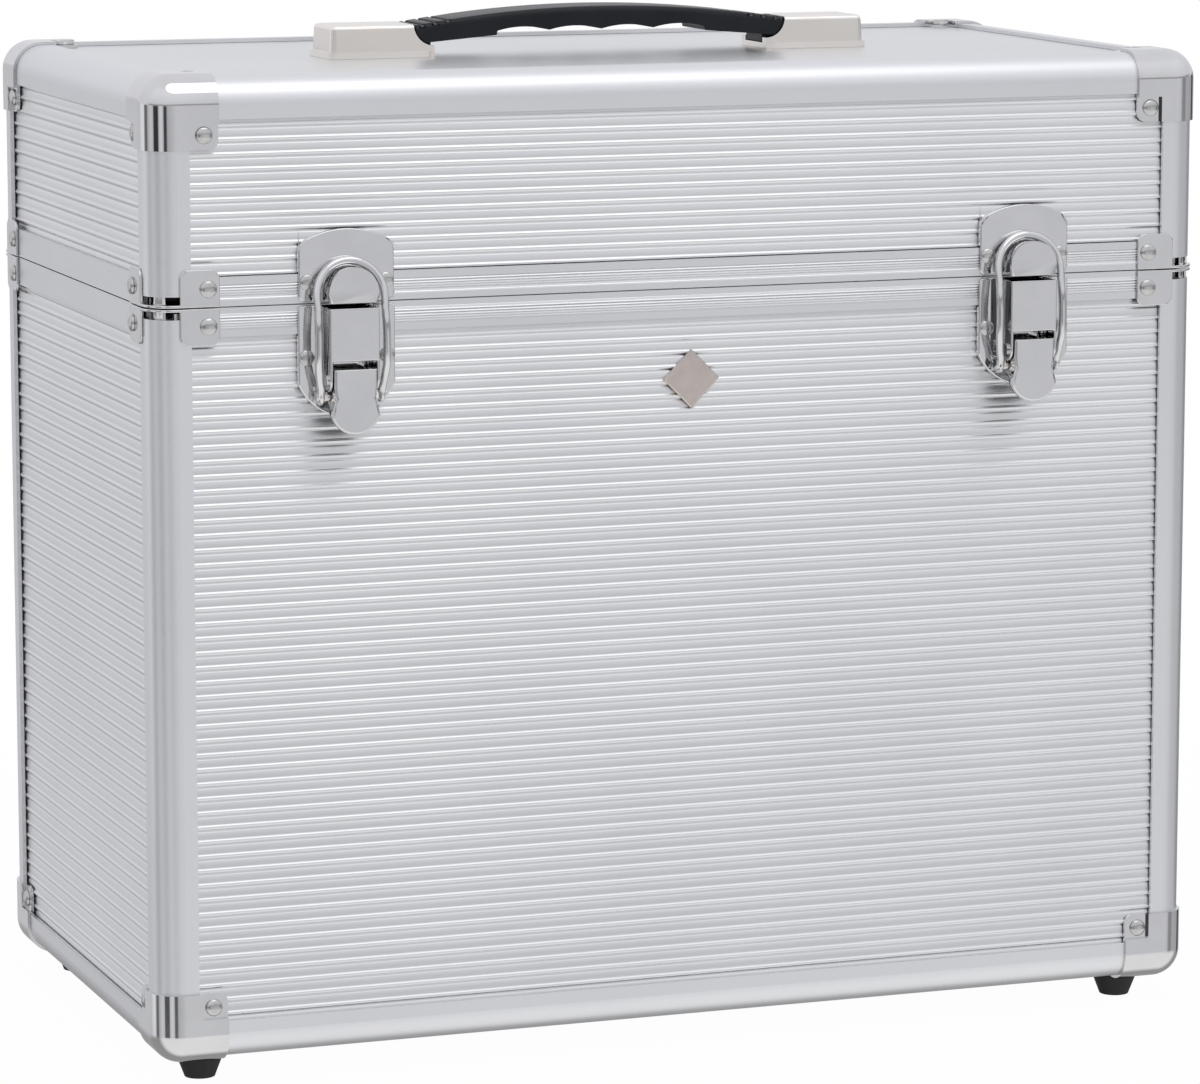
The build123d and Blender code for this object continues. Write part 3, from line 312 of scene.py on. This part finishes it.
def metal(name, first, second, rough, patch, grain, stretch=(1.0, 1.0, 1.0)):
    """Metal with patchy colour and a fine grain in its roughness."""
    shader = Shader(name)
    shader.surface.inputs["Metallic"].default_value = 1.0
    shader.colours(shader.noise(patch), first, second)
    shader.rough(shader.noise(grain, GRAIN_DETAIL, stretch), *rough)
    return shader


def plastic(name, first, second, rough, grain, grain_height, specular):
    """Moulded plastic, rubber or foam with a fine leathery grain."""
    shader = Shader(name)
    shader.surface.inputs["Specular IOR Level"].default_value = specular
    shader.colours(shader.noise(PLASTIC_PATCH), first, second)
    fine = shader.noise(grain)
    shader.rough(fine, *rough)
    shader.bump(fine, grain_height)
    return shader


def ribbed_aluminium():
    """Satin sheet with a grain along the ribs."""
    first = (0.775, 0.78, 0.79)
    second = (0.805, 0.81, 0.82)
    return metal("ribbed_aluminium", first, second, (0.30, 0.35), 14.0, 900.0, (0.02, 0.02, 1.0))


def frame_aluminium():
    """Satin anodised extrusion."""
    first = (0.785, 0.79, 0.81)
    second = (0.81, 0.815, 0.835)
    return metal("frame_aluminium", first, second, (0.37, 0.42), 10.0, 700.0)


def rim_aluminium():
    """Anodised rim with a band of fine grooves on either side of the parting line, in front and behind."""
    first = (0.77, 0.775, 0.79)
    second = (0.80, 0.805, 0.82)
    shader = metal("rim_aluminium", first, second, (0.28, 0.36), 12.0, 1200.0, (0.03, 0.03, 1.0))
    level = shader.add("ShaderNodeSeparateXYZ")
    shader.link(shader.coords, level.inputs[0])
    height = shader.maths("ABSOLUTE", shader.maths("SUBTRACT", level.outputs["Z"], PARTING), 0.0)
    along = shader.maths("SUBTRACT", height, GROOVES_FROM * MM)
    wave = shader.maths("SINE", shader.maths("MULTIPLY", along, 2 * math.pi / (GROOVE_PITCH * MM)), 0.0)
    depth = shader.maths("ABSOLUTE", level.outputs["Y"], 0.0)
    for inside in (
        shader.maths("GREATER_THAN", along, 0.0),
        shader.maths("LESS_THAN", along, GROOVES * GROOVE_PITCH * MM),
        shader.maths("GREATER_THAN", depth, GROOVED_DEPTH * MM),
    ):
        wave = shader.maths("MULTIPLY", wave, inside)
    shader.bump(wave, GROOVE_WAVE * MM)
    return shader


def chrome_steel():
    """Bright plated steel."""
    return metal("chrome_steel", (0.69, 0.69, 0.695), (0.73, 0.73, 0.735), (0.05, 0.10), 90.0, 260.0)


def rivet_steel():
    """Duller plated steel."""
    return metal("rivet_steel", (0.50, 0.50, 0.49), (0.62, 0.62, 0.61), (0.12, 0.24), 300.0, 900.0)


def satin_nickel():
    """Warm satin plating of the handle's housings."""
    return metal("satin_nickel", (0.93, 0.885, 0.835), (0.96, 0.915, 0.865), (0.20, 0.27), 40.0, 2600.0)


def badge_nickel():
    """Darker warm plating of the bare badge."""
    return metal("badge_nickel", (0.60, 0.53, 0.49), (0.66, 0.59, 0.55), (0.20, 0.30), 200.0, 900.0)


def black_plastic():
    """Fine grained grip."""
    first = (0.006, 0.007, 0.010)
    second = (0.010, 0.012, 0.016)
    return plastic("black_plastic", first, second, (0.30, 0.42), 1800.0, 0.00006, 0.28)


def black_rubber():
    """Matt rubber of the feet."""
    first = (0.010, 0.010, 0.010)
    second = (0.018, 0.018, 0.018)
    return plastic("black_rubber", first, second, (0.50, 0.65), 1500.0, 0.00005, 0.35)


def foam_lining():
    """Dull dark foam."""
    first = (0.035, 0.035, 0.038)
    second = (0.05, 0.05, 0.054)
    return plastic("foam_lining", first, second, (0.80, 0.95), 2600.0, 0.00015, 0.2)


def tray_plastic():
    """Dark moulded plastic, slightly glossy."""
    first = (0.03, 0.03, 0.033)
    second = (0.045, 0.045, 0.05)
    return plastic("tray_plastic", first, second, (0.38, 0.5), 1500.0, 0.00006, 0.45)


SLOT_MATERIALS = {
    "ribbed_aluminium": ribbed_aluminium().material,
    "frame_aluminium": frame_aluminium().material,
    "rim_aluminium": rim_aluminium().material,
    "chrome_steel": chrome_steel().material,
    "rivet_steel": rivet_steel().material,
    "satin_nickel": satin_nickel().material,
    "black_plastic": black_plastic().material,
    "black_rubber": black_rubber().material,
    "foam_lining": foam_lining().material,
    "tray_plastic": tray_plastic().material,
}


def dress(obj, material):
    """Put one material in every slot of an object."""
    if not obj.data.materials:
        obj.data.materials.append(material)
    for index in range(len(obj.data.materials)):
        obj.data.materials[index] = material


def dress_nodes():
    """Materials of the CAD nodes."""
    for part in frame["record"]["subparts"]:
        dress(nodes[part["node"]], SLOT_MATERIALS[part["material_slot"]])
    dress(nodes["badge"], badge_nickel().material)


# Mesh tools


def piece(name, build, slot, body):
    """Turn a bmesh, in metres, into a piece that rides on a body and wears a slot's material."""
    bmesh.ops.recalc_face_normals(build, faces=build.faces)
    mesh = bpy.data.meshes.new(name)
    build.to_mesh(mesh)
    build.free()
    mesh.shade_smooth()
    mesh.set_sharp_from_angle(angle=SHARP_ANGLE)
    obj = bpy.data.objects.new(name, mesh)
    bpy.context.scene.collection.objects.link(obj)
    dress(obj, SLOT_MATERIALS[slot])
    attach(obj, body)
    return obj


def soften(obj, width):
    """Round the sharp edges of a solid. Its mesh is split at those edges, so it is welded first."""
    weld = obj.modifiers.new("joined_edges", "WELD")
    weld.merge_threshold = WELD_DISTANCE * MM
    bevel = obj.modifiers.new("soft_edges", "BEVEL")
    bevel.width = width * MM
    bevel.segments = EDGE_STEPS
    bevel.limit_method = "ANGLE"
    bevel.angle_limit = EDGE_ANGLE
    bevel.harden_normals = True
    bevel.use_clamp_overlap = False


def add_ring(build, points):
    """Vertices at places, to be bridged later."""
    return [build.verts.new(point) for point in points]


def bridge(build, first, second):
    """Quads between two closed rings of as many points."""
    count = len(first)
    for index in range(count):
        following = (index + 1) % count
        build.faces.new((first[index], first[following], second[following], second[index]))


def close_ends(build, first, last):
    """Faces over the first and the last ring of a row of rings."""
    build.faces.new(list(reversed(first)))
    build.faces.new(last)


def prism(build, outline, start, end):
    """Solid between two copies of a closed outline. start and end turn an outline point into a place."""
    first = add_ring(build, [start(point) for point in outline])
    second = add_ring(build, [end(point) for point in outline])
    bridge(build, first, second)
    build.faces.new(first)
    build.faces.new(list(reversed(second)))


def circle(centre, side, other, radius, segments):
    """Places round a circle in the plane of two directions."""
    places = []
    for index in range(segments):
        angle = 2 * math.pi * index / segments
        places.append(centre + (side * math.cos(angle) + other * math.sin(angle)) * radius)
    return places


def turned(build, profile, place, axis, side, segments=32):
    """Solid of revolution. Profile points are (radius, height) along the axis, closed at both ends."""
    other = axis.cross(side)
    rings = [
        add_ring(build, circle(place + axis * height, side, other, radius, segments))
        for radius, height in profile
    ]
    for first, second in zip(rings, rings[1:]):
        bridge(build, first, second)
    close_ends(build, rings[0], rings[-1])


def tube(build, path, radius):
    """Round wire along a path of places."""
    side = None
    rings = []
    for index, place in enumerate(path):
        before = path[max(index - 1, 0)]
        after = path[min(index + 1, len(path) - 1)]
        along = (after - before).normalized()
        if side is None:
            side = along.orthogonal().normalized()
        side = (side - along * side.dot(along)).normalized()
        rings.append(add_ring(build, circle(place, side, along.cross(side), radius, WIRE_SIDES)))
    for first, second in zip(rings, rings[1:]):
        bridge(build, first, second)
    close_ends(build, rings[0], rings[-1])


def smooth_path(points, steps=6):
    """Places on a Catmull-Rom curve through the points."""
    ends = [points[0] * 2 - points[1]] + list(points) + [points[-1] * 2 - points[-2]]
    path = []
    for a, b, c, d in zip(ends, ends[1:], ends[2:], ends[3:]):
        square = a * 2 - b * 5 + c * 4 - d
        cube = b * 3 - a - c * 3 + d
        for step in range(steps):
            t = step / steps
            path.append((b * 2 + (c - a) * t + square * t**2 + cube * t**3) * 0.5)
    path.append(points[-1])
    return path


# Ribbed panels


def rib_levels(half, on_side, low, high):
    """Heights of the beads that fit between two heights. The side panels are cut at another level."""
    if half == "body":
        start = PARTING - (BODY_RIB_OFFSET - BODY_SIDE_SHIFT * on_side) * MM
    else:
        start = PARTING + (LID_RIB_OFFSET + LID_SIDE_SHIFT * on_side) * MM
    pitch = RIB_PITCH * MM
    first = start + pitch * math.ceil((low + (BEAD_DOWN + GROOVE_UP) * MM - start) / pitch)
    count = int((high - BEAD_UP * MM - first) / pitch) + 1
    return [first + index * pitch for index in range(count)]


def bead(crest):
    """Points over one bead and the groove under it, from below, as (height above the skin, level)."""
    points = []
    for step in range(FLANK_STEPS):
        share = step / FLANK_STEPS
        points.append((-GROOVE_DEPTH * share * (2 - share), -BEAD_DOWN - GROOVE_UP * (1 - share)))
    for step in range(FLANK_STEPS):
        share = 1 - step / FLANK_STEPS
        points.append((BEAD_HEIGHT - (BEAD_HEIGHT + GROOVE_DEPTH) * share**2, -BEAD_DOWN * share))
    for step in range(FLANK_STEPS + 1):
        share = step / FLANK_STEPS
        points.append((BEAD_HEIGHT * (0.5 + 0.5 * math.cos(math.pi * share)), BEAD_UP * share))
    return [(rise * MM, crest + level * MM) for rise, level in points]


def make_ribbed_panel(half, face):
    """Ribbed skin in place of one flat panel."""
    node = f"{half}_{face}_panel"
    low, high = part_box(node)
    on_side = face in ("left", "right")
    across = 0 if on_side else 1
    outwards = -1 if face in ("front", "left") else 1
    crest = low[across] if outwards < 0 else high[across]
    back = high[across] if outwards < 0 else low[across]
    skin = crest - outwards * BEAD_HEIGHT * MM
    outline = [(back, low.z), (skin, low.z)]
    for level in rib_levels(half, on_side, low.z, high.z):
        outline += [(skin + outwards * rise, z) for rise, z in bead(level)]
    outline += [(skin, high.z), (back, high.z)]

    def at(end):
        """Turns an outline point into a place at one end of the panel."""
        return lambda p: Vector((p[0], end.y, p[1])) if on_side else Vector((end.x, *p))

    build = bmesh.new()
    prism(build, outline, at(low), at(high))
    panel = piece(f"{node}_skin", build, "ribbed_aluminium", "case_body" if half == "body" else "lid")
    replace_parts(panel, node)


def make_ribbed_panels():
    """Ribbed skins on the four sides of the body and the lid."""
    for half in ("body", "lid"):
        for face in ("front", "back", "left", "right"):
            make_ribbed_panel(half, face)


# Rivets


def islands(node):
    """Boxes of a node's separate solids."""
    build = bmesh.new()
    build.from_mesh(nodes[node].data)
    bmesh.ops.remove_doubles(build, verts=build.verts, dist=WELD_DISTANCE * MM)
    boxes = []
    seen = set()
    for seed in build.verts:
        if seed in seen:
            continue
        seen.add(seed)
        group = [seed]
        for vert in group:
            for edge in vert.link_edges:
                other = edge.other_vert(vert)
                if other not in seen:
                    seen.add(other)
                    group.append(other)
        low = Vector([min(v.co[axis] for v in group) for axis in range(3)])
        high = Vector([max(v.co[axis] for v in group) for axis in range(3)])
        boxes.append((low, high))
    build.free()
    return boxes


def rivet_profile(radius, rise):
    """Shank, foot and dome of a rivet as (radius, height), in metres."""
    edge = RIVET_EDGE * MM
    profile = [
        (radius * SHANK_SHARE, -SHANK_DEPTH * MM),
        (radius * SHANK_SHARE, 0),
        (radius * FOOT_SHARE, 0),
        (radius, edge / 2),
    ]
    for step in range(DOME_STEPS):
        angle = math.pi / 2 * step / DOME_STEPS
        profile.append((radius * math.cos(angle), edge + (rise - edge) * math.sin(angle)))
    profile.append((radius * TIP_SHARE, rise))
    return profile


def make_rivets():
    """Domed heads in place of the plain ones."""
    middle = (cad_low + cad_high) / 2
    for half, body in (("body", "case_body"), ("lid", "lid")):
        build = bmesh.new()
        for low, high in islands(f"{half}_rivets"):
            size = high - low
            axis = max(range(3), key=lambda i: size[i])
            centre = (low + high) / 2
            outwards = 1 if centre[axis] > middle[axis] else -1
            radius = sorted(size)[0] / 2
            rise = (LARGE_RISE if 2 * radius > LARGE_RIVET * MM else SMALL_RISE) * MM
            place = centre.copy()
            place[axis] = (high if outwards > 0 else low)[axis] - outwards * rise
            direction = Vector((0, 0, 0))
            direction[axis] = outwards
            side = Vector((0, 0, 1)) if axis != 2 else Vector((1, 0, 0))
            turned(build, rivet_profile(radius, rise), place, direction, side)
        heads = piece(f"{half}_rivet_heads", build, "rivet_steel", body)
        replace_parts(heads, f"{half}_rivets")


# Latches


def on_front(x, up, out):
    """Place from an x in metres, and millimetres up from the parting line and out from the front plane."""
    return Vector((x, FRONT - out * MM, PARTING + up * MM))


def make_boss(name, x):
    """Deep half-round boss that fits over the catch plate's shallow one."""
    outline = [(-BOSS_HALF, BOSS_FOOT), (BOSS_HALF, BOSS_FOOT)]
    centre = BOSS_TOP - BOSS_HALF
    for step in range(BOSS_STEPS + 1):
        angle = math.pi * step / BOSS_STEPS
        outline.append((BOSS_HALF * math.cos(angle), centre + BOSS_HALF * math.sin(angle)))
    build = bmesh.new()
    prism(
        build,
        outline,
        lambda p: on_front(x + p[0] * MM, p[1], BOSS_BACK),
        lambda p: on_front(x + p[0] * MM, p[1], BOSS_OUT),
    )
    front = FRONT - BOSS_OUT * MM
    foot = PARTING + (BOSS_FOOT + BOSS_FOOT_PLAY) * MM
    rounded = [
        edge for edge in build.edges
        if all(abs(v.co.y - front) < NEAR for v in edge.verts) and max(v.co.z for v in edge.verts) > foot
    ]
    bmesh.ops.bevel(
        build, geom=rounded, offset=BOSS_BEVEL * MM, segments=BOSS_BEVEL_STEPS, affect="EDGES", profile=0.5
    )
    piece(f"{name}_boss", build, "chrome_steel", "lid")


def bail_crown(x):
    """Places over the top of the wire loop, from its right leg to its left."""
    start_out = BAIL_LEG[-1][2]
    places = []
    for step in range(1, CROWN_STEPS):
        angle = math.pi * step / CROWN_STEPS
        up = CROWN_CENTRE + CROWN_HALF * math.sin(angle)
        out = start_out + (CROWN_OUT - start_out) * math.sin(angle)
        places.append(on_front(x + CROWN_HALF * math.cos(angle) * MM, up, out))
    return places


def make_bail(name, x):
    """Wire loop hooked round the boss, with flattened eyes on its pin."""
    leg = [on_front(x + across * MM, up, out) for across, up, out in BAIL_LEG]
    other_leg = [on_front(x - across * MM, up, out) for across, up, out in reversed(BAIL_LEG)]
    build = bmesh.new()
    tube(build, smooth_path(leg + bail_crown(x) + other_leg), WIRE_RADIUS * MM)
    pin = Vector(JOINT_PLACES[f"{name}_bail_swing"])
    inner = (EYE_X - EYE_WALL / 2) * MM
    outer = (EYE_X + EYE_WALL / 2) * MM
    radius = EYE_RADIUS * MM
    edge = EYE_EDGE * MM
    rim = radius - edge
    profile = [(rim, inner), (radius, inner + edge), (radius, outer - edge), (rim, outer)]
    for side in (-1, 1):
        turned(build, profile, pin, Vector((side, 0, 0)), Vector((0, 0, 1)))
    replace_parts(piece(f"{name}_wire", build, "chrome_steel", f"{name}_bail"), f"{name}_bail")


def make_sleeves(name):
    """Collars on the bail's pin, between the lever and the eyes."""
    pin = Vector(JOINT_PLACES[f"{name}_bail_swing"])
    profile = [(radius * MM, height * MM) for height, radius in SLEEVE]
    build = bmesh.new()
    for side in (-1, 1):
        turned(build, profile, pin, Vector((side, 0, 0)), Vector((0, 0, 1)), SLEEVE_SIDES)
    piece(f"{name}_sleeves", build, "satin_nickel", f"{name}_bail_pin")


def make_latches():
    """Boss, wire loop and collars of both latches, and rounded edges on their plates and levers."""
    for name in ("latch_left", "latch_right"):
        x = JOINT_PLACES[f"{name}_bail_swing"][0]
        make_boss(name, x)
        make_bail(name, x)
        make_sleeves(name)
        soften(nodes[f"{name}_keeper"], PLATE_EDGE)
        soften(nodes[f"{name}_base"], PLATE_EDGE)
        soften(nodes[f"{name}_lever"], LEVER_EDGE)


def soften_edges():
    """Rounded edges on the brackets, the grip and the badge."""
    for half in ("body", "lid"):
        soften(nodes[f"{half}_rim_brackets"], BRACKET_EDGE)
    soften(nodes["handle_grip"], GRIP_EDGE)
    soften(nodes["badge"], BADGE_EDGE)


# Stage and light


def floor_material():
    """Pale floor that the camera sees as near white, with a trace of the light and shadow on it."""
    shader = Shader("pale_floor")
    tree = shader.tree
    shader.surface.inputs["Roughness"].default_value = FLOOR_ROUGHNESS
    shader.surface.inputs["Specular IOR Level"].default_value = FLOOR_SPECULAR
    shader.colours(shader.noise(FLOOR_PATCH), (0.86, 0.86, 0.865), (0.88, 0.88, 0.885))
    glow = shader.add("ShaderNodeEmission", Strength=1.0)
    glow.inputs["Color"].default_value = (1.0, 1.0, 1.0, 1.0)
    distance = shader.add("ShaderNodeVectorMath", operation="LENGTH")
    shader.link(shader.coords, distance.inputs[0])
    limits = [FLOOR_RADIUS * share for share in FLOOR_FADE]
    fade = smooth_step(tree, distance.outputs["Value"], limits, FLOOR_GLOW)
    path = shader.add("ShaderNodeLightPath")
    seen = maths(tree, "MULTIPLY", path.outputs["Is Camera Ray"], fade)
    mix = shader.add("ShaderNodeMixShader")
    shader.link(seen, mix.inputs[0])
    shader.link(shader.surface.outputs[0], mix.inputs[1])
    shader.link(glow.outputs[0], mix.inputs[2])
    shader.link(mix.outputs[0], tree.nodes["Material Output"].inputs["Surface"])
    return shader.material


def make_stage():
    """Round floor. Reflections don't see it, because the room's lower half stands for it there."""
    floor_mesh = bpy.data.meshes.new("floor")
    build = bmesh.new()
    bmesh.ops.create_circle(build, cap_ends=True, segments=FLOOR_SIDES, radius=FLOOR_RADIUS)
    build.to_mesh(floor_mesh)
    build.free()
    floor = bpy.data.objects.new("floor", floor_mesh)
    bpy.context.scene.collection.objects.link(floor)
    dress(floor, floor_material())
    floor.visible_glossy = False


def ramp(tree, value, stops):
    """Colour ramp through brightness stops."""
    node = tree.nodes.new("ShaderNodeValToRGB")
    elements = node.color_ramp.elements
    elements[0].position = stops[0][0]
    elements[1].position = stops[-1][0]
    for position, _ in stops[1:-1]:
        elements.new(position)
    for element, (_, level) in zip(elements, stops):
        element.color = (*(level * tint for tint in ROOM_TINT), 1.0)
    tree.links.new(value, node.inputs["Fac"])
    return node.outputs["Color"]


def grey(level):
    """Grey colour of one brightness."""
    return (level, level, level, 1.0)


def mixed(tree, factor, first, second):
    """Mix of two colours by a factor. Each is a socket or a colour."""
    node = tree.nodes.new("ShaderNodeMix")
    node.data_type = "RGBA"
    for name, value in (("Factor", factor), ("A", first), ("B", second)):
        socket = [i for i in node.inputs if i.name == name and i.enabled][0]
        if isinstance(value, tuple):
            socket.default_value = value
        else:
            tree.links.new(value, socket)
    return [o for o in node.outputs if o.enabled][0]


def make_world():
    """White to the camera. To the object it is a studio with walls, a ceiling and a floor."""
    world = bpy.data.worlds.new("studio")
    world.use_nodes = True
    tree = world.node_tree
    background = tree.nodes["Background"]
    parts = tree.nodes.new("ShaderNodeSeparateXYZ")
    tree.links.new(tree.nodes.new("ShaderNodeTexCoord").outputs["Generated"], parts.inputs[0])
    x, y, z = parts.outputs
    turn = maths(tree, "ARCTAN2", x, maths(tree, "MULTIPLY", y, -1.0))
    turn = maths(tree, "ADD", maths(tree, "DIVIDE", turn, 2 * math.pi), 0.5)
    walls = ramp(tree, turn, ROOM_WALLS)
    side = smooth_step(tree, y, BACK_FROM)
    ceiling = mixed(tree, side, ramp(tree, z, ROOM_FRONT), ramp(tree, z, ROOM_BACK))
    room = mixed(tree, smooth_step(tree, z, CEILING_FROM), walls, ceiling)
    below = mixed(tree, side, grey(FLOOR_FRONT), grey(FLOOR_BACK))
    depth = maths(tree, "MULTIPLY", z, -1.0)
    room = mixed(tree, smooth_step(tree, depth, FLOOR_FROM), room, below)
    path = tree.nodes.new("ShaderNodeLightPath")
    shown = mixed(tree, path.outputs["Is Camera Ray"], room, grey(1.0))
    tree.links.new(shown, background.inputs["Color"])
    background.inputs["Strength"].default_value = 1.0
    bpy.context.scene.world = world


def make_lamp():
    """Large soft lamp over the case."""
    data = bpy.data.lights.new("top_light", "AREA")
    data.shape = "ELLIPSE"
    data.size, data.size_y = LAMP_SIZE
    data.energy = LAMP_POWER
    lamp = bpy.data.objects.new("top_light", data)
    bpy.context.scene.collection.objects.link(lamp)
    lamp.location = LAMP_PLACE
    aim = Vector(LAMP_TARGET) - Vector(LAMP_PLACE)
    lamp.rotation_euler = aim.to_track_quat("-Z", "Y").to_euler()
    lamp.visible_camera = False


dress_nodes()
make_camera()
make_ribbed_panels()
make_rivets()
make_latches()
soften_edges()
make_stage()
make_world()
make_lamp()

bpy.context.scene.view_settings.view_transform = "Standard"
